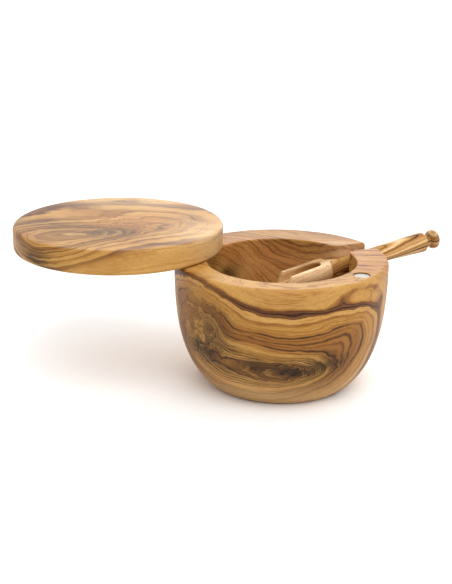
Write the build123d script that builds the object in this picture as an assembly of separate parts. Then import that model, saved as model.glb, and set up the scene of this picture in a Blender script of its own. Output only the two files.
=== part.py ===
from build123d import *
from math import atan, cos, degrees, radians, sin, tan
import os

# A round salt keeper turned from olive wood.  The lid is a thick disc that
# swings sideways on a steel pin in the rim, and a pair of small magnets
# opposite the pin holds it shut.  A turned scoop lies in a notch cut through
# the rim, its head in the well and its handle outside.
#
# Millimetres.  The origin is the centre of the foot, +Z is up, and the notch
# points between +X and +Y.  The lid is shown swung open.

# ---- bowl: outside ----
bowl_height = 65.2
bowl_radius = 54.0
foot_radius = 33.2          # flat that the bowl stands on
foot_round = 5.5            # arc between the foot and the side
side_start_angle = 40.4     # slope of the side where it leaves that arc
side_low_pull = 22.2        # how far the side keeps that slope
side_high_pull = 20.5       # how far the side stays upright below the rim
rim_round = 2.0             # outer edge of the rim

# ---- bowl: well ----
well_radius = 37.75
well_offset = 4.2           # the well stands this far towards -Y
well_floor = 14.0           # wood left under the well
well_floor_round = 12.0
mouth_round = 0.6           # sanded edge round the well and the notch

# ---- notch in the rim for the scoop ----
notch_azimuth = 29.5
notch_width = 10.4
notch_inner_round = 5.0     # upright corners at the well
notch_floor_round = 1.5

# ---- lid and its pin ----
lid_thickness = 12.2
lid_top_round = 2.2
lid_bottom_round = 1.4
lid_gap = 0.35              # the pin carries the lid this far above the rim
lid_swing = 129.6           # how far the lid is turned from shut
pin_azimuth = 145.5
pin_edge_distance = 6.8     # pin and magnets stand this far inside the rim's edge
pin_radius = 2.5
pin_depth_in_bowl = 14.0
pin_depth_in_lid = 8.0
pin_chamfer = 0.5
pin_running_clearance = 0.05
pin_glue_gap = 0.02

# ---- magnets ----
magnet_radius = 4.0
magnet_thickness = 3.0
magnet_chamfer = 0.3
magnet_glue_gap = 0.25
rim_magnet_recess = 0.45    # face of the magnet below the wood
lid_magnet_recess = 0.4

# ---- scoop: place ----
scoop_tilt = 7.0            # the handle rises outwards
scoop_drop = 7.45           # axis below the rim, at the carry point
scoop_edge_distance = 8.0   # carry point inside the rim's edge, over the notch's floor
scoop_seat_gap = 0.25

# ---- scoop: turned outline, lengths along its axis from the carry point ----
head_tip = -48.1
head_front_radius = 6.2
head_front_round = 4.5
head_back = -18.6
head_back_radius = 7.5
head_back_round = 2.6
shaft_start_radius = 4.7    # behind the head
shaft_waist = -11.0
shaft_waist_radius = 3.6
handle_end = 41.9
handle_radius = 5.4         # at its thick outer end
handle_end_round = 2.0
neck_length = 2.8
neck_radius = 3.1
knob_length = 5.2
knob_radius = 5.15
knob_face_radius = 2.6

# ---- scoop: flat top, lip and trough of the head ----
flat_height_back = 4.4      # flat above the axis at the back of the head
flat_height_front = 2.7     # and at its tip
lip_top = -42.6             # where the flat ends
lip_slant = 31.0            # the lip slants forward below that
trough_back = -22.8
trough_back_half_width = 3.0
trough_front_half_width = 4.3
trough_floor_wall = 2.3
trough_edge_round = 0.5

STAND_ON = (Align.CENTER, Align.CENTER, Align.MIN)


def on_circle(radius, azimuth, height):
    """Point at a distance and a direction from the bowl's axis."""
    return (radius * cos(radians(azimuth)), radius * sin(radians(azimuth)), height)


def share_between(start, end, share):
    """Value a share of the way from one value to another."""
    return start + share * (end - start)


# Places that several pieces share.
lid_radius = bowl_radius
lid_bottom = bowl_height + lid_gap
pin_circle_radius = bowl_radius - pin_edge_distance
magnet_azimuth = pin_azimuth + 180
scoop_carry_radius = bowl_radius - scoop_edge_distance
carry_point = on_circle(scoop_carry_radius, notch_azimuth, bowl_height - scoop_drop)
scoop_place = Pos(*carry_point) * Rot(0, 0, notch_azimuth) * Rot(0, -scoop_tilt, 0)
handle_taper = degrees(atan((handle_radius - shaft_waist_radius) / (handle_end - shaft_waist)))


# ---- bowl ----
def turned_bowl():
    """Solid of revolution inside the bowl's outer outline."""
    slope = radians(side_start_angle)
    side_x = foot_radius + foot_round * sin(slope)
    side_z = foot_round * (1 - cos(slope))
    foot = Line((0, 0), (foot_radius, 0))
    foot_arc = CenterArc((foot_radius, foot_round), foot_round, -90, side_start_angle)
    side = Bezier(
        (side_x, side_z),
        (side_x + side_low_pull * cos(slope), side_z + side_low_pull * sin(slope)),
        (bowl_radius, bowl_height - side_high_pull),
        (bowl_radius, bowl_height),
    )
    top = Line((bowl_radius, bowl_height), (0, bowl_height))
    middle = Line((0, bowl_height), (0, 0))
    section = make_face([foot, foot_arc, side, top, middle])
    rim_corner = section.vertices().sort_by_distance((bowl_radius, bowl_height, 0))[0]
    section = fillet(rim_corner, rim_round)
    return revolve(Plane.XZ * section, Axis.Z)


def well_cutter():
    """Space of the well, with its rounded floor."""
    well = Cylinder(well_radius, bowl_height - well_floor, align=STAND_ON)
    well = fillet(well.edges().group_by(Axis.Z)[0], well_floor_round)
    return Pos(0, -well_offset, well_floor) * well


def notch_cutter():
    """Space of the notch: its floor runs along the underside of the handle."""
    reach = scoop_edge_distance + well_radius
    radius_at_carry = share_between(
        shaft_waist_radius, handle_radius, shaft_waist / (shaft_waist - handle_end)
    )
    floor = radius_at_carry / cos(radians(handle_taper)) + scoop_seat_gap
    block = Box(reach, notch_width, bowl_height, align=STAND_ON)
    floor_edges = block.edges().filter_by(Axis.X).group_by(Axis.Z)[0]
    block = fillet(floor_edges, notch_floor_round)
    return scoop_place * Rot(0, handle_taper, 0) * Pos(0, 0, -floor) * block


def is_upright(edge):
    """Whether an edge runs straight up."""
    rise = (edge @ 1) - (edge @ 0)
    return abs(rise.Z) > 0.99 * rise.length


def notch_inner_corners(body):
    """The two upright edges where the notch leaves the well."""
    corner = on_circle(well_radius, notch_azimuth, bowl_height)
    return body.edges().filter_by(is_upright).sort_by_distance(corner)[:2]


def blind_hole(radius, face, depth, azimuth):
    """Cutter on the pin circle, from a face upwards, or downwards if depth is negative."""
    hole = Cylinder(radius, abs(depth), align=STAND_ON)
    return Pos(*on_circle(pin_circle_radius, azimuth, face + min(depth, 0))) * hole


def make_bowl():
    """Bowl with its well, the notch, and the seats of the pin and the magnet."""
    body = turned_bowl() - well_cutter() - notch_cutter()
    body = fillet(notch_inner_corners(body), notch_inner_round)
    # The rounding follows the well's edge on through the notch to its outer ends.
    top_edges = body.faces().sort_by(Axis.Z)[-1].edges()
    body = fillet(top_edges.sort_by_distance((0, 0, bowl_height))[0], mouth_round)
    pin_seat_radius = pin_radius + pin_glue_gap
    body -= blind_hole(pin_seat_radius, bowl_height, -pin_depth_in_bowl, pin_azimuth)
    magnet_seat_radius = magnet_radius + magnet_glue_gap
    magnet_seat_depth = magnet_thickness + rim_magnet_recess
    return body - blind_hole(magnet_seat_radius, bowl_height, -magnet_seat_depth, magnet_azimuth)


# ---- lid, pin and magnets ----
def swung_open(piece):
    """Turn a piece of the lid from shut to where it is shown."""
    pivot = Axis(on_circle(pin_circle_radius, pin_azimuth, 0), (0, 0, 1))
    return piece.rotate(pivot, -lid_swing)


def make_lid():
    """Lid, with the hole that turns on the pin and the seat of its magnet."""
    disc = Cylinder(lid_radius, lid_thickness, align=STAND_ON)
    disc = fillet(disc.edges().group_by(Axis.Z)[-1], lid_top_round)
    disc = fillet(disc.edges().group_by(Axis.Z)[0], lid_bottom_round)
    disc = Pos(0, 0, lid_bottom) * disc
    pin_hole_radius = pin_radius + pin_running_clearance
    disc -= blind_hole(pin_hole_radius, lid_bottom, pin_depth_in_lid, pin_azimuth)
    magnet_seat_radius = magnet_radius + magnet_glue_gap
    magnet_seat_depth = magnet_thickness + lid_magnet_recess
    disc -= blind_hole(magnet_seat_radius, lid_bottom, magnet_seat_depth, magnet_azimuth)
    return swung_open(disc)


def make_pin():
    """Steel pin, glued into the bowl; the end of the lid's hole rests on its top."""
    length = pin_depth_in_bowl + lid_gap + pin_depth_in_lid
    pin = Cylinder(pin_radius, length, align=STAND_ON)
    pin = chamfer(pin.edges().filter_by(GeomType.CIRCLE), pin_chamfer)
    return Pos(*on_circle(pin_circle_radius, pin_azimuth, bowl_height - pin_depth_in_bowl)) * pin


def make_magnet(low):
    """Disc magnet on the pin circle opposite the pin, its lower face at a height."""
    disc = Cylinder(magnet_radius, magnet_thickness, align=STAND_ON)
    disc = chamfer(disc.edges().filter_by(GeomType.CIRCLE), magnet_chamfer)
    return Pos(*on_circle(pin_circle_radius, magnet_azimuth, low)) * disc


# ---- scoop, made along +X with its carry point at the origin ----
def head_share(length):
    """How far a length lies from the head's tip to its back, as a share."""
    return (length - head_tip) / (head_back - head_tip)


def head_radius_at(length):
    return share_between(head_front_radius, head_back_radius, head_share(length))


def flat_height_at(length):
    return share_between(flat_height_front, flat_height_back, head_share(length))


def turned_scoop():
    """Solid of revolution: round head, tapered handle, neck and knob."""
    neck_end = handle_end + neck_length
    knob_end = neck_end + knob_length
    front = Polyline(
        (head_tip, 0),
        (head_tip, head_front_radius),
        (head_back, head_back_radius),
        (head_back, shaft_start_radius),
        (shaft_waist, shaft_waist_radius),
        (handle_end, handle_radius),
        (handle_end, neck_radius),
        (neck_end, neck_radius),
    )
    knob = ThreePointArc(
        (neck_end, neck_radius),
        ((neck_end + knob_end) / 2, knob_radius),
        (knob_end, knob_face_radius),
    )
    back = Polyline((knob_end, knob_face_radius), (knob_end, 0), (head_tip, 0))
    section = make_face([front, knob, back])
    rounded_corners = [
        (head_tip, head_front_radius, head_front_round),
        (head_back, head_back_radius, head_back_round),
        (handle_end, handle_radius, handle_end_round),
    ]
    for x, y, radius in rounded_corners:
        corner = section.vertices().sort_by_distance((x, y, 0))[0]
        section = fillet(corner, radius)
    return revolve(section, Axis.X)


def flat_cutter():
    """All that lies over the head's flat top and ahead of its lip."""
    depth = head_front_radius * 2
    height = head_back_radius * 2
    lip_bottom = lip_top - (depth + flat_height_at(lip_top)) * tan(radians(lip_slant))
    front = lip_bottom - head_front_round
    back = head_back + head_back_round
    outline = Polyline(
        (front, -depth),
        (lip_bottom, -depth),
        (lip_top, flat_height_at(lip_top)),
        (back, flat_height_at(back)),
        (back, height),
        (front, height),
        close=True,
    )
    return extrude(Plane.XZ * make_face(outline), height, both=True)


def trough_floor_at(length):
    return trough_floor_wall - head_radius_at(length)


def trough_section(length, half_width):
    """Round-bottomed section of the trough, across the scoop."""
    round_centre = trough_floor_at(length) + half_width
    height = head_back_radius * 2
    outline = [
        Line((-half_width, height), (-half_width, round_centre)),
        CenterArc((0, round_centre), half_width, 180, 180),
        Line((half_width, round_centre), (half_width, height)),
        Line((half_width, height), (-half_width, height)),
    ]
    across = Plane(origin=(length, 0, 0), x_dir=(0, 1, 0), z_dir=(1, 0, 0))
    return across * make_face(outline)


def trough_cutter():
    """Space of the trough: round at its back, and wider towards the open lip."""
    start = trough_back - trough_back_half_width
    end = head_tip - head_front_round
    run = loft([
        trough_section(start, trough_back_half_width),
        trough_section(end, trough_front_half_width),
    ])
    round_centre = trough_floor_at(start) + trough_back_half_width
    wall = Cylinder(trough_back_half_width, head_back_radius * 2 - round_centre, align=STAND_ON)
    return run + Pos(start, 0, round_centre) * (Sphere(trough_back_half_width) + wall)


def make_scoop():
    """Scoop, turned in one piece, then cut flat and hollowed at its head."""
    body = turned_scoop() - flat_cutter() - trough_cutter()
    cut_faces = body.faces().filter_by(GeomType.PLANE)
    flat = cut_faces.sort_by(Axis.Z)[-1]
    lip = cut_faces.sort_by(Axis.X)[0]
    body = fillet(flat.edges() + lip.edges(), trough_edge_round)
    return scoop_place * body


parts = {
    "bowl": make_bowl(),
    "lid": make_lid(),
    "pivot_pin": make_pin(),
    "rim_magnet": make_magnet(bowl_height - rim_magnet_recess - magnet_thickness),
    "lid_magnet": swung_open(make_magnet(lid_bottom + lid_magnet_recess)),
    "scoop": make_scoop(),
}
os.makedirs("parts", exist_ok=True)
for name, shape in parts.items():
    export_step(shape, f"parts/{name}.step")
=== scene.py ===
import math

import bpy
from mathutils import Matrix, Vector


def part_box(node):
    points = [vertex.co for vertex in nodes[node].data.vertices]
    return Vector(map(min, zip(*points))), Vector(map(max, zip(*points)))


# A round olive-wood salt keeper.  Its wooden pieces, magnets and pin are the
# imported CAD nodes; what is made here is their wood and metal, the light, the
# floor and the camera.  The grain is solid: every piece is cut from its own
# field of growth rings, so it runs on from one face to the next.

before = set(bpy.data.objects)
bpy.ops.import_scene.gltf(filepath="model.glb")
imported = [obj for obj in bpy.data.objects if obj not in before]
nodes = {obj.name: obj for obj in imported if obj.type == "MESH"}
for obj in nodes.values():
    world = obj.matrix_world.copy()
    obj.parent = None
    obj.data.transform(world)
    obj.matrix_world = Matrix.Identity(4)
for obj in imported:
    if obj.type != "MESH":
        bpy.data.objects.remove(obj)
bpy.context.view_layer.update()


# ---- colours ----
def tone(code):
    """Linear colour from a six-digit sRGB code."""
    channels = [int(code[k:k + 2], 16) / 255 for k in (0, 2, 4)]
    return [c / 12.92 if c <= 0.04045 else ((c + 0.055) / 1.055) ** 2.4 for c in channels] + [1]


WHITE = tone("ffffff")

# The wood.
PALE = tone("ecca9a")
CORAL = tone("f0b478")
CREAM = tone("fad8b0")
TAN = tone("d0ac78")
HONEY = tone("c09350")
GOLD = tone("b0823e")
CLAY = tone("c68c4c")
AMBER = tone("96662c")
RUSSET = tone("8e5e2c")
BROWN = tone("704420")
UMBER = tone("482a10")
DARK = tone("1a0e08")
SMOKE = tone("4a3828")

# Its shade, fibres and growth lines, which the wood's colour is multiplied by.
IVORY = tone("fffaf0")
LINEN = tone("f4ece0")
OATMEAL = tone("e8dcc8")
SHELL = tone("e4d4c8")
FLAX = tone("dcd2c4")
WHEAT = tone("c8a678")
STRAW = tone("b88a58")

# Metal and paper.
NICKEL = tone("8a8680")
STEEL = tone("c8c8c8")
PAPER_LOW = tone("f5f5f5")
PAPER_HIGH = tone("f8f8f8")


def blend(a, b, share):
    return [x + (y - x) * share for x, y in zip(a, b)]


def tone_at(tones, ring):
    """Colour between the two tones on either side of a ring number."""
    for (low, below), (high, above) in zip(tones, tones[1:]):
        if low <= ring <= high:
            return blend(below, above, (ring - low) / (high - low))
    raise ValueError(f"no tone at ring {ring}")


def drawn(tones, lines):
    """Tones with narrow lines drawn over them, as one sorted list.

    A line is (ring number, colour, how far it fades before, how far after).
    """
    stops = []
    for at, colour, before, after in lines:
        stops += [(at - before, tone_at(tones, at - before)), (at, colour)]
        stops.append((at + after, tone_at(tones, at + after)))
    covered = [(at - before, at + after) for at, _, before, after in lines]
    stops += [s for s in tones if not any(low <= s[0] <= high for low, high in covered)]
    return sorted(stops, key=lambda stop: stop[0])


# ---- scene and node building ----
def add_object(name, data):
    """A new object of the scene."""
    made = bpy.data.objects.new(name, data)
    bpy.context.scene.collection.objects.link(made)
    return made


def new_material(name):
    """An empty node material and its graph."""
    material = bpy.data.materials.new(name)
    material.use_nodes = True
    return material, Graph(material.node_tree)


GRAIN_STRETCH = (0.4, 1, 1)     # a warp is longer along the grain, which runs in x
NOISE_MEAN = 0.5
MOST_OF_NOISE = (0.3, 0.7)      # few values of a noise lie outside it


class Graph:
    """A node tree and short ways to add and wire its nodes."""

    def __init__(self, tree):
        self.tree = tree
        self.tree.nodes.clear()

    def put(self, socket, value):
        """Wire a socket to an output, or set it to a value."""
        if isinstance(value, bpy.types.NodeSocket):
            self.tree.links.new(value, socket)
        else:
            socket.default_value = value

    def node(self, kind, inputs=(), **settings):
        made = self.tree.nodes.new("ShaderNode" + kind)
        for key, value in settings.items():
            setattr(made, key, value)
        for key, value in dict(inputs).items():
            self.put(made.inputs[key], value)
        return made

    def math(self, operation, *values):
        made = self.node("Math", operation=operation)
        for socket, value in zip(made.inputs, values):
            self.put(socket, value)
        return made.outputs[0]

    def dot(self, a, b):
        made = self.node("VectorMath", operation="DOT_PRODUCT")
        self.put(made.inputs[0], a)
        self.put(made.inputs[1], b)
        return made.outputs["Value"]

    def span(self, value, low, high, to_low=0.0, to_high=1.0):
        """Value mapped from one range to another, clamped."""
        sockets = {"Value": value, "From Min": low, "From Max": high}
        sockets.update({"To Min": to_low, "To Max": to_high})
        return self.node("MapRange", sockets).outputs["Result"]

    def scaled(self, vector, scale, offset=(0, 0, 0)):
        sockets = {"Vector": vector, "Location": offset, "Scale": scale}
        return self.node("Mapping", sockets).outputs[0]

    def noise(self, vector, detail=2.0, roughness=0.5):
        sockets = {"Vector": vector, "Scale": 1.0, "Detail": detail, "Roughness": roughness}
        return self.node("TexNoise", sockets).outputs[0]

    def warped(self, vector, scale, distance):
        """Vector pushed about by noise, by up to about half the distance."""
        long_grain = self.scaled(vector, GRAIN_STRETCH)
        sockets = {"Vector": long_grain, "Scale": scale, "Detail": 2.0}
        push = self.node("TexNoise", sockets).outputs[1]
        moved = self.node("VectorMath", operation="MULTIPLY_ADD")
        self.put(moved.inputs[0], push)
        self.put(moved.inputs[1], (distance, distance, distance))
        self.put(moved.inputs[2], self.scaled(vector, (1, 1, 1), [-distance * NOISE_MEAN] * 3))
        return moved.outputs[0]

    def ramp(self, value, stops):
        """Colours at stops given in the value's own units."""
        low, high = stops[0][0], stops[-1][0]
        made = self.node("ValToRGB", {"Fac": self.span(value, low, high)})
        elements = made.color_ramp.elements
        while len(elements) < len(stops):
            elements.new(1.0)
        for element, (at, colour) in zip(elements, stops):
            element.position = (at - low) / (high - low)
            element.color = colour
        return made.outputs["Color"]

    def mix(self, share, a, b, kind="MIX"):
        """Colour a, with a share of colour b."""
        made = self.node("Mix", data_type="RGBA", blend_type=kind)
        self.put(made.inputs[0], share)
        self.put(made.inputs[6], a)
        self.put(made.inputs[7], b)
        return made.outputs[2]

    def blob(self, vector, centre, reach):
        """1 at a centre, fading to nothing about twice its reach away."""
        scale = [1 / r for r in reach]
        near = self.scaled(vector, scale, [-c * s for c, s in zip(centre, scale)])
        return self.math("POWER", math.exp(-1), self.dot(near, near))


# ---- olive wood ----
MM_PER_METRE = 1000
STOPS_PER_RAMP = 16             # a long ramp would blur its narrow lines

# How often each pattern repeats in a millimetre, and how far it is shifted.
LONG_WAVE = 0.07
SHORT_WAVE = 0.3
CURL_SCALE = (0.13, 0.17, 0.19)
DRIFT_SCALE = (0.05, 0.09, 0.09)
DRIFT_SHIFT = (11, 2, 5)
SHADE_SCALE = (0.02, 0.05, 0.05)
SHADE_SHIFT = (3, 7, 1)
FIBRE_SCALE = (0.12, 1.6, 1.6)
PORE_SCALE = (0.45, 5.0, 5.0)
GROWTH_ALONG = (0.02, 0.03)
STREAK_ALONG = (0.05, 0.06)

# How often the patterns that follow the rings repeat from one ring to the next.
GROWTH_PER_RING = 4.5
STREAKS_PER_RING = 2.2

# How far the waves range, in millimetres from one side to the other.
LONG_WAVE_RANGE = 6.0
SHORT_WAVE_RANGE = 1.8

# Spans of a noise: low, high and, where it is not 0 to 1, what they turn into.
LINES_CLEAR = (0.34, 0.46, 0.3, 1.0)
STREAKS_DARK = (0.40, 0.56, 0.15, 1.0)
PORES_OPEN = (0.66, 0.74)
GROWTH_THINS = (0.4, 0.6)       # they turn into each wood's fineness and what is left of it
GROWTH_LEFT = 1 / 3             # share of the growth lines where they are thin

# How much of each is laid over the wood.
SHADE_SHARE = 0.9
FIBRE_SHARE = 0.6
PORE_SHARE = 0.35

# The bump of fibres and pores, and the thin oil over it.
FIBRE_HEIGHT = 0.5
PORE_HEIGHT = -0.8
BUMP_STRENGTH = 0.12
BUMP_METRES = 0.0002
OILED_ROUGHNESS = (0.38, 0.5)   # smoothest and roughest
OILED_IOR = 1.26


def ring_colour(g, rings, stops):
    """Colour of each ring, from as many ramps as the stops need."""
    colour = None
    for first in range(0, len(stops) - 1, STOPS_PER_RAMP - 1):
        part = stops[first:first + STOPS_PER_RAMP]
        band = g.ramp(rings, part)
        beyond = g.math("GREATER_THAN", rings, part[0][0])
        colour = band if colour is None else g.mix(beyond, colour, band)
    return colour


def middle_of_top(node):
    """Middle of the top of a node's box."""
    low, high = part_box(node)
    return ((low[0] + high[0]) / 2, (low[1] + high[1]) / 2, high[2])


def ring_numbers(g, place, slope, first_ring, knots, burls, waviness):
    """Ring number at each place: wavy rings that curl inside the burls."""
    wavy = g.warped(place, LONG_WAVE, LONG_WAVE_RANGE * waviness)
    wavy = g.warped(wavy, SHORT_WAVE, SHORT_WAVE_RANGE * waviness)
    rings = g.math("ADD", g.dot(wavy, slope), first_ring)
    for centre, reach, lift in knots:
        rings = g.math("MULTIPLY_ADD", g.blob(wavy, centre, reach), lift, rings)
    curl = g.noise(g.scaled(place, CURL_SCALE), detail=2.0, roughness=0.5)
    for centre, reach, strength in burls:
        push = g.math("MULTIPLY", g.math("SUBTRACT", curl, NOISE_MEAN), strength)
        rings = g.math("MULTIPLY_ADD", g.blob(place, centre, reach), push, rings)
    return rings


def across_rings(g, rings, per_ring, along, scale):
    """Place for a noise that is quick across the rings and slow along them."""
    return g.node("CombineXYZ", {
        "X": g.math("MULTIPLY", along[0], scale[0]),
        "Y": g.math("MULTIPLY", rings, per_ring),
        "Z": g.math("MULTIPLY", along[1], scale[1]),
    }).outputs[0]


def growth_lines(g, rings, x, y):
    """Fine growth lines of uneven spacing, as a colour to multiply by."""
    place = across_rings(g, rings, GROWTH_PER_RING, (x, y), GROWTH_ALONG)
    growth = g.noise(place, detail=5.0, roughness=0.65)
    return g.ramp(growth, [
        (0.0, WHITE), (0.38, OATMEAL), (0.43, WHEAT), (0.45, WHITE),
        (0.55, WHITE), (0.60, STRAW), (0.62, LINEN), (1.0, WHITE),
    ])


def smoky_streaks(g, rings, x, z):
    """Strength of a stain, in streaks that follow the rings."""
    place = across_rings(g, rings, STREAKS_PER_RING, (x, z), STREAK_ALONG)
    return g.span(g.noise(place, detail=6.0, roughness=0.75), *STREAKS_DARK)


def oiled_surface(g, place, colour):
    """Surface of that colour, with slow shade, fibres and pores."""
    slow = g.noise(g.scaled(place, SHADE_SCALE, SHADE_SHIFT))
    shade = g.ramp(slow, [(0.3, SHELL), (0.5, WHITE), (0.7, IVORY)])
    colour = g.mix(SHADE_SHARE, colour, shade, "MULTIPLY")
    fibre = g.noise(g.scaled(place, FIBRE_SCALE), detail=3.0, roughness=0.6)
    fibres = g.ramp(fibre, [(0.30, FLAX), (0.62, WHITE)])
    colour = g.mix(FIBRE_SHARE, colour, fibres, "MULTIPLY")
    pores = g.span(g.noise(g.scaled(place, PORE_SCALE), detail=1.0), *PORES_OPEN)
    colour = g.mix(g.math("MULTIPLY", pores, PORE_SHARE), colour, BROWN)

    height = g.math("MULTIPLY", pores, PORE_HEIGHT)
    height = g.math("MULTIPLY_ADD", fibre, FIBRE_HEIGHT, height)
    bump = g.node("Bump", {
        "Height": height, "Strength": BUMP_STRENGTH, "Distance": BUMP_METRES,
    })
    shader = g.node("BsdfPrincipled", {
        "Base Color": colour,
        "Roughness": g.span(fibre, *MOST_OF_NOISE, *OILED_ROUGHNESS),
        "Normal": bump.outputs[0],
        "IOR": OILED_IOR,
    })
    g.node("OutputMaterial", {"Surface": shader.outputs[0]})


def olive_wood(name, node, slope, first_ring, knots, tones, lines, burls=(), stains=(),
               tints=(), waviness=1.0, fineness=0.75):
    """Oiled olive wood for one node, in millimetres from the middle of its top.

    The ring number is first_ring there, grows along slope, and is lifted by each
    knot (centre, reach, rings).  A burl (centre, reach, strength) curls the rings.
    Tones and lines give each ring its colour.  A tint (centre, reach, colour,
    strength) changes it smoothly, and a stain of the same form in streaks.
    Waviness scales how far the rings waver, and fineness how much the growth
    lines show.
    """
    material, g = new_material(name)
    to_middle = [-MM_PER_METRE * c for c in middle_of_top(node)]
    place = g.scaled(g.node("TexCoord").outputs["Object"], [MM_PER_METRE] * 3, to_middle)
    x, y, z = g.node("SeparateXYZ", {"Vector": place}).outputs
    rings = ring_numbers(g, place, slope, first_ring, knots, burls, waviness)

    # The drawn lines come and go; where they fade, the growth lines show more.
    drift = g.noise(g.scaled(place, DRIFT_SCALE, DRIFT_SHIFT), detail=3.0)
    clear = g.span(drift, *LINES_CLEAR)
    crowd = g.span(drift, *GROWTH_THINS, fineness, fineness * GROWTH_LEFT)
    colour = g.mix(clear, ring_colour(g, rings, tones), ring_colour(g, rings, drawn(tones, lines)))

    for centre, reach, tint, strength in tints:
        colour = g.mix(g.math("MULTIPLY", g.blob(place, centre, reach), strength), colour, tint)
    colour = g.mix(crowd, colour, growth_lines(g, rings, x, y), "MULTIPLY")
    streak = smoky_streaks(g, rings, x, z)
    for centre, reach, stain, strength in stains:
        share = g.math("MULTIPLY", g.blob(place, centre, reach), streak)
        colour = g.mix(g.math("MULTIPLY", share, strength), colour, stain)

    oiled_surface(g, place, colour)
    return material


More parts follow.
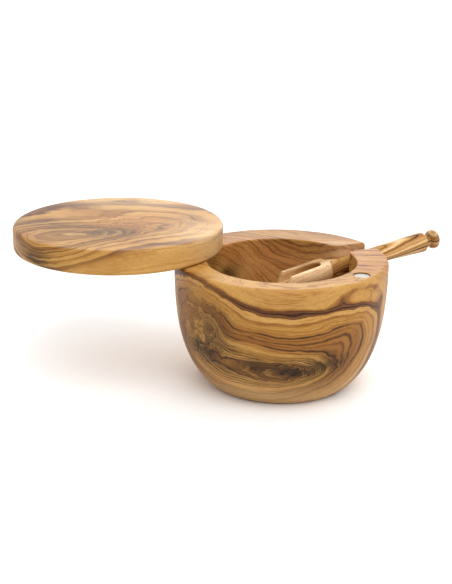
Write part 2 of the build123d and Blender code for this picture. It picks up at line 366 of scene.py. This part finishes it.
def bowl_wood():
    """Wood of the bowl: an eye with a long tail, two crests, and arches at the rim."""
    knots = [
        ((-30, -46, -41), (72, 60, 26), 4.2),   # the long swell low on the front
        ((9, -50, -43), (20, 18, 7), 1.3),      # its eye
        ((-40, -32, -35), (16, 20, 8), 0.5),    # its smoky tail on the left
        ((39, -40, -23), (26, 28, 17), 1.9),    # crest on the right
        ((-50, -28, -9), (28, 30, 16), 2.9),    # crest on the left, up to the rim
        ((-30, -44, -12), (13, 12, 7), 0.25),   # and its shoulder towards the middle
        ((-34, -41, -23), (7, 7, 6), 1.3),      # small swirl in the left burl
        ((0, -54, -3), (30, 12, 6), -0.3),      # plain wood under the front of the rim
        ((28, -46, -5), (7, 6, 3.5), 0.5),      # arch below the rim magnet
        ((34.5, -41.5, -2), (7, 6, 3.2), 0.75),
        ((41.5, -34.5, -2), (6, 6, 3.2), 0.85),
        ((46, -28, -5), (6, 7, 4.2), 0.95),
        ((49.5, -20.5, -11), (5, 7, 7), 0.9),
        ((-46, -30, -1), (18, 18, 7), -0.45),   # plain wood on the left of the rim
        ((-32, 22, -21), (26, 26, 30), 1.3),    # left side of the well
        ((24, 40, 1), (40, 30, 14), -0.4),      # back of the rim
    ]
    tones = [
        (-5.5, TAN), (-4.4, HONEY), (-3.6, GOLD), (-3.0, HONEY), (-2.6, GOLD), (-2.2, CLAY),
        (-1.8, HONEY), (-1.3, CLAY), (-0.9, GOLD), (-0.5, HONEY), (0.62, HONEY), (0.72, GOLD),
        (0.8, RUSSET), (0.95, BROWN), (1.05, UMBER), (1.18, BROWN), (1.28, HONEY), (1.6, HONEY),
        (1.75, AMBER), (1.85, GOLD), (2.2, GOLD), (2.5, AMBER), (2.75, AMBER), (3.0, AMBER),
        (3.25, RUSSET), (3.5, GOLD), (3.8, HONEY), (4.1, GOLD), (4.35, HONEY), (4.5, RUSSET),
        (4.65, GOLD), (4.8, RUSSET), (4.9, HONEY), (5.05, RUSSET), (5.2, DARK), (6.0, DARK),
    ]
    lines = [
        (-4.1, RUSSET, 0.1, 0.05), (-3.3, RUSSET, 0.12, 0.06), (-2.98, AMBER, 0.05, 0.04),
        (-2.76, UMBER, 0.06, 0.05), (-2.6, BROWN, 0.06, 0.04), (-2.42, BROWN, 0.07, 0.05),
        (-2.28, UMBER, 0.05, 0.04), (-2.02, BROWN, 0.08, 0.06), (-1.88, RUSSET, 0.04, 0.04),
        (-1.6, RUSSET, 0.07, 0.04), (-1.35, BROWN, 0.06, 0.04), (-1.2, RUSSET, 0.05, 0.05),
        (-0.9, AMBER, 0.05, 0.05), (-0.65, AMBER, 0.05, 0.03), (-0.5, RUSSET, 0.05, 0.02),
        (-0.35, AMBER, 0.05, 0.03), (0.9, DARK, 0.06, 0.04), (1.08, DARK, 0.1, 0.05),
        (1.25, UMBER, 0.06, 0.04), (1.66, RUSSET, 0.1, 0.12), (2.12, RUSSET, 0.06, 0.04),
        (2.36, RUSSET, 0.05, 0.04), (2.54, DARK, 0.1, 0.07), (2.72, BROWN, 0.05, 0.05),
        (2.94, UMBER, 0.1, 0.05), (3.1, BROWN, 0.04, 0.04), (3.3, DARK, 0.1, 0.05),
        (3.46, BROWN, 0.05, 0.03), (3.9, BROWN, 0.08, 0.05), (4.06, UMBER, 0.06, 0.04),
        (4.22, DARK, 0.06, 0.04), (4.34, BROWN, 0.04, 0.03), (4.46, DARK, 0.05, 0.03),
        (4.58, DARK, 0.05, 0.03), (4.7, DARK, 0.05, 0.03), (4.84, DARK, 0.06, 0.03),
        (4.98, DARK, 0.06, 0.03), (5.14, DARK, 0.05, 0.04),
    ]
    burls = [
        ((-40, -33, -21), (14, 14, 14), 4.0),   # left of the front
        ((-33, 10, -25), (16, 20, 16), 1.0),    # inside the well
        ((14, -48, -42), (24, 16, 7), 1.2),     # the eye
    ]
    stains = [
        ((8, -49, -42), (15, 10, 7), DARK, 1.0),      # the eye
        ((25, -44, -40), (12, 10, 6), DARK, 0.8),     # right of the eye
        ((-12, -48, -41), (14, 10, 6), DARK, 0.8),    # tail, from the eye to the left edge
        ((-28, -42, -39), (12, 10, 7), DARK, 0.85),
        ((-40, -32, -36), (12, 12, 8), DARK, 0.9),
        ((-31, -43, -25), (10, 10, 10), DARK, 0.6),   # in the left burl
        ((-38, -37, -17), (10, 10, 9), DARK, 0.4),
        ((-28, 21, -16), (9, 8, 5), DARK, 0.7),       # low on the left of the well
    ]
    tints = [
        ((-38, -37, -7), (14, 12, 7), GOLD, 0.45),    # paler band on the left
        ((-40, -34, -21), (10, 11, 9), GOLD, 0.35),   # golden wood in the left burl
        ((50, -12, -26), (12, 22, 24), RUSSET, 0.3),  # redder at the right
        ((0, -20, -61), (50, 54, 9), TAN, 0.8),       # painted reflection of the floor: paler towards the foot
        ((0, 24, -14), (36, 16, 12), CORAL, 0.5),     # painted light: paler, redder wall of the well
        ((36, 26, -4), (11, 6, 6), CREAM, 0.7),       # painted light on the notch's wall, which faces the light
        ((16, 44, 0), (40, 16, 4), AMBER, 0.6),       # painted shade: browner rim at the back, against its sheen
        ((48, 6, 0), (14, 16, 4), AMBER, 0.2),        # and at the right
        ((8, -49, -43), (9, 8, 2.5), DARK, 0.6),      # core of the eye
        ((-36, -36, -37), (7, 8, 4), UMBER, 0.6),     # core of the tail, at the left edge
        ((23, -45, -39), (9, 7, 3.5), UMBER, 0.55),   # smoky wood right of the eye
        ((-28, 21, -16), (9, 8, 5), UMBER, 0.65),     # smoky patch low in the well
        ((-35, 8, -8), (6, 8, 4), UMBER, 0.45),       # and another nearer the rim
    ]
    slope = (0, -0.026, -0.022)     # rings per millimetre
    first_ring = -1.83
    return olive_wood("bowl_wood", "bowl", slope, first_ring, knots, tones, lines,
                      burls, stains, tints)


def lid_wood():
    """Wood of the lid: one long tongue of rings, and streaks behind it."""
    knots = [
        ((-32, -38, 0), (36, 38, 40), 3.8),     # nose of the long tongue, at the left
        ((-8, -24, 0), (26, 13, 40), 1.3),      # its middle
        ((22, -4, 0), (38, 26, 40), 2.7),       # its right end
        ((-8, 28, 0), (80, 16, 40), 0.9),       # streaks along the back
    ]
    tones = [
        (-4.0, GOLD), (-1.0, HONEY), (1.4, HONEY), (1.7, GOLD), (1.85, RUSSET), (2.1, BROWN),
        (2.25, AMBER), (2.35, HONEY), (2.6, HONEY), (2.75, GOLD), (2.95, AMBER), (3.1, HONEY),
        (3.35, HONEY), (3.5, AMBER), (3.65, GOLD), (3.8, HONEY), (4.0, AMBER), (4.15, GOLD),
        (4.3, AMBER), (4.5, RUSSET), (4.65, GOLD), (4.8, HONEY), (5.1, HONEY), (5.3, AMBER),
        (5.5, GOLD), (5.8, HONEY), (7.0, GOLD),
    ]
    lines = [
        (-1.6, AMBER, 0.1, 0.1), (0.0, AMBER, 0.1, 0.1), (1.5, AMBER, 0.08, 0.08),
        (1.95, BROWN, 0.08, 0.08), (2.2, UMBER, 0.1, 0.06), (2.85, RUSSET, 0.08, 0.05),
        (3.0, BROWN, 0.06, 0.05), (3.46, BROWN, 0.12, 0.06), (3.75, AMBER, 0.08, 0.04),
        (4.06, DARK, 0.12, 0.06), (4.25, BROWN, 0.05, 0.04), (4.45, UMBER, 0.1, 0.06),
        (4.62, UMBER, 0.06, 0.05), (4.95, RUSSET, 0.08, 0.06), (5.25, BROWN, 0.1, 0.06),
        (5.45, AMBER, 0.06, 0.06), (5.62, RUSSET, 0.06, 0.05),
    ]
    burls = [((0, 0, 0), (20, 14, 30), 1.6)]
    stains = [
        ((-10, -23, 0), (18, 9, 12), SMOKE, 0.9),   # across the middle of the tongue
        ((-4, -19, 0), (9, 4, 12), DARK, 0.8),
        ((-38, -40, -9), (18, 12, 6), DARK, 0.9),   # front left edge
        ((-38, -6, 0), (24, 10, 12), SMOKE, 0.7),   # behind the nose
        ((-27, 29, 0), (14, 7, 12), SMOKE, 0.8),    # spots along the back
        ((-2, 43, 0), (14, 7, 12), SMOKE, 0.7),
        ((35, 4, 0), (9, 12, 12), BROWN, 0.9),      # end of the tongue
    ]
    tints = [
        ((16, 2, 0), (24, 12, 12), CLAY, 0.4),        # redder inside the tongue
        ((-38, -33, 0), (15, 11, 12), AMBER, 0.45),   # browner, clear wood in its nose, partly painted shade against its sheen
        ((35, 5, 0), (7, 9, 12), AMBER, 0.4),         # browner at its right end
        ((6, -50, -8), (30, 10, 8), HONEY, 0.6),      # plainer wood on the lid's front
        ((0, 48, 0), (60, 16, 16), PALE, 0.6),        # painted sheen: paler along the back
        ((46, -14, 0), (16, 26, 16), PALE, 0.6),      # and at the right
    ]
    slope = (0, 0, 0.2)             # rings per millimetre
    first_ring = 1.2
    return olive_wood("lid_wood", "lid", slope, first_ring, knots, tones, lines,
                      burls, stains, tints, waviness=0.7, fineness=0.4)


def scoop_wood():
    """Wood of the scoop: nearly straight stripes, at a slant to its handle."""
    tones = [
        (-8.0, TAN), (-3.6, TAN), (-3.0, AMBER), (-2.6, GOLD), (-2.2, TAN), (-1.8, TAN),
        (-1.6, BROWN), (-1.3, BROWN), (-1.2, TAN), (-1.0, GOLD), (-0.7, GOLD), (-0.5, TAN),
        (-0.3, PALE), (-0.1, TAN), (0.1, CLAY), (0.36, TAN), (0.5, CLAY), (0.68, CLAY),
        (0.72, BROWN), (0.82, RUSSET), (0.92, HONEY), (1.1, PALE), (1.3, HONEY), (1.45, GOLD),
        (1.8, HONEY), (2.3, GOLD), (2.8, HONEY), (3.1, TAN), (3.4, PALE), (8.0, PALE),
    ]
    lines = [
        (-3.2, BROWN, 0.1, 0.1), (-2.75, UMBER, 0.1, 0.1), (-2.2, BROWN, 0.1, 0.1),
        (-1.9, RUSSET, 0.06, 0.06), (-1.45, DARK, 0.08, 0.08), (-1.05, BROWN, 0.06, 0.06),
        (-0.82, UMBER, 0.06, 0.04), (-0.6, RUSSET, 0.06, 0.04), (-0.42, AMBER, 0.05, 0.04),
        (0.14, RUSSET, 0.05, 0.03), (0.34, AMBER, 0.03, 0.03), (0.5, RUSSET, 0.04, 0.03),
        (0.64, UMBER, 0.04, 0.03), (0.76, DARK, 0.04, 0.05), (1.42, BROWN, 0.06, 0.05),
        (2.15, RUSSET, 0.08, 0.05), (2.6, RUSSET, 0.08, 0.05),
        (3.2, RUSSET, 0.08, 0.05), (4.0, HONEY, 0.1, 0.05), (4.5, HONEY, 0.1, 0.05),
    ]
    stains = [((40, 19, -3), (4, 4, 4), BROWN, 0.7)]    # across the knob
    tints = [
        ((-24, -22, -12), (26, 6, 8), CREAM, 0.95),     # painted light: pale outside of the head
        ((-26, -11, -12), (18, 3.5, 4), BROWN, 0.6),    # painted shade: brown floor of its trough
    ]
    slope = (-0.028, -0.171, 0.44)  # rings per millimetre
    first_ring = 4.9
    return olive_wood("scoop_wood", "scoop", slope, first_ring, [], tones, lines,
                      stains=stains, tints=tints, waviness=0.25)


# ---- metal ----
METAL_ROUGHNESS = (0.22, 0.4)       # smoothest and roughest
MARKS_SCALE = (900, 2500, 900)      # repeats per metre, as is the cloud's
CLOUD_SCALE = (300, 300, 300)
MARKS_STRENGTH = 0.05
MARKS_METRES = 0.0001
DULL_SHARE = 0.86                   # brightness of the metal where it is dull


def metal(name, colour):
    """Metal with fine marks, a little uneven in colour and gloss."""
    material, g = new_material(name)
    place = g.node("TexCoord").outputs["Object"]
    marks = g.noise(g.scaled(place, MARKS_SCALE), detail=3.0)
    cloud = g.noise(g.scaled(place, CLOUD_SCALE))
    bump = g.node("Bump", {
        "Height": marks, "Strength": MARKS_STRENGTH, "Distance": MARKS_METRES,
    })
    shader = g.node("BsdfPrincipled", {
        "Base Color": g.mix(cloud, colour, [DULL_SHARE * c for c in colour[:3]] + [1]),
        "Metallic": 1.0,
        "Roughness": g.span(marks, *MOST_OF_NOISE, *METAL_ROUGHNESS),
        "Normal": bump.outputs[0],
    })
    g.node("OutputMaterial", {"Surface": shader.outputs[0]})
    return material


def finish_nodes():
    """Give each CAD node its finish."""
    nickel = metal("magnet_nickel", NICKEL)
    finishes = {
        "bowl": bowl_wood(),
        "lid": lid_wood(),
        "scoop": scoop_wood(),
        "rim_magnet": nickel,
        "lid_magnet": nickel,
        "pivot_pin": metal("pin_steel", STEEL),
    }
    for name, material in finishes.items():
        slots = nodes[name].data.materials
        slots.clear()
        slots.append(material)


finish_nodes()


# ---- camera at the photograph's angle ----
PHOTO_HEIGHT = 584              # pixels, as is the focal length
FOCAL_PIXELS = 1168.2
SENSOR = 36.0                   # millimetres
NEAREST = 0.01                  # metres between which the camera sees
FARTHEST = 30
CAMERA_DISTANCE = 0.612343      # metres from the centre of the foot
CAMERA_ELEVATION = 0.394531     # radians, as are the small turns below
CAMERA_PAN = 0.049086
CAMERA_TILT = 0.071316
CAMERA_ROLL = -0.010245


def make_camera():
    """Camera aimed down at the foot, then panned, tilted and rolled a little."""
    forward = Vector((0, math.cos(CAMERA_ELEVATION), -math.sin(CAMERA_ELEVATION)))
    place = -CAMERA_DISTANCE * forward
    forward = Matrix.Rotation(CAMERA_PAN, 3, "Z") @ forward
    right = forward.cross(Vector((0, 0, 1))).normalized()
    forward = Matrix.Rotation(CAMERA_TILT, 3, right) @ forward
    up = right.cross(forward)
    roll = Matrix.Rotation(CAMERA_ROLL, 3, forward)
    turn = Matrix((roll @ right, roll @ up, -forward)).transposed()
    data = bpy.data.cameras.new("camera")
    data.sensor_width = SENSOR
    data.lens = FOCAL_PIXELS / PHOTO_HEIGHT * SENSOR
    data.clip_start = NEAREST
    data.clip_end = FARTHEST
    camera = add_object("camera", data)
    camera.matrix_world = Matrix.Translation(place) @ turn.to_4x4()
    bpy.context.scene.camera = camera


make_camera()


# ---- floor and light ----
FLOOR_HALF = 8.0                # metres, as are the places and sizes of the lights
PAPER_SCALE = (400, 400, 400)   # repeats per metre
PAPER_ROUGHNESS = 0.9

LIGHT_IN_FRONT = 0.5            # strength of the world's light
LIGHT_BEHIND = 1.6
LIGHT_CHANGE_ENDS = 0.7         # y of the directions where each is reached
SEEN_BACKGROUND = 1.0           # strength where the camera sees the world

AIM = (0, 0, 0.04)              # the lights face this place inside the bowl
LIGHTS = {
    "key": {"place": (0.5, -1.1, 1.7), "size": 2.2, "watts": 32},
    "back_light": {"place": (0.2, 1.6, 0.5), "size": 1.0, "watts": 3},
}


def make_floor():
    """White paper under the foot, which reaches far past the picture."""
    signs = ((-1, -1), (1, -1), (1, 1), (-1, 1))
    corners = [(x * FLOOR_HALF, y * FLOOR_HALF, 0) for x, y in signs]
    mesh = bpy.data.meshes.new("floor")
    mesh.from_pydata(corners, [], [(0, 1, 2, 3)])
    floor = add_object("floor", mesh)
    material, g = new_material("floor")
    place = g.node("TexCoord").outputs["Object"]
    paper = g.noise(g.scaled(place, PAPER_SCALE), detail=4.0)
    shader = g.node("BsdfPrincipled", {
        "Base Color": g.ramp(paper, list(zip(MOST_OF_NOISE, (PAPER_LOW, PAPER_HIGH)))),
        "Roughness": PAPER_ROUGHNESS,
    })
    g.node("OutputMaterial", {"Surface": shader.outputs[0]})
    mesh.materials.append(material)


def make_world():
    """Pale studio, brighter behind the object than in front of it."""
    world = bpy.data.worlds.new("world")
    bpy.context.scene.world = world
    world.use_nodes = True
    g = Graph(world.node_tree)
    direction = g.node("TexCoord").outputs["Generated"]
    toward_back = g.node("SeparateXYZ", {"Vector": direction}).outputs["Y"]
    ends = (-LIGHT_CHANGE_ENDS, LIGHT_CHANGE_ENDS)
    light = g.span(toward_back, *ends, LIGHT_IN_FRONT, LIGHT_BEHIND)
    seen = g.node("LightPath").outputs["Is Camera Ray"]
    strength = g.node("Mix", {"Factor": seen}, data_type="FLOAT")
    g.put(strength.inputs[2], light)
    g.put(strength.inputs[3], SEEN_BACKGROUND)
    background = g.node("Background", {"Color": WHITE, "Strength": strength.outputs[0]})
    g.node("OutputWorld", {"Surface": background.outputs[0]})


def area_light(name, place, size, watts):
    """Round soft light aimed at the object."""
    data = bpy.data.lights.new(name, "AREA")
    data.shape = "DISK"
    data.size = size
    data.energy = watts
    light = add_object(name, data)
    light.location = place
    light.rotation_mode = "QUATERNION"
    light.rotation_quaternion = (Vector(AIM) - Vector(place)).to_track_quat("-Z", "Y")


make_floor()
make_world()
for light_name, settings in LIGHTS.items():
    area_light(light_name, **settings)

bpy.context.scene.view_settings.view_transform = "Standard"
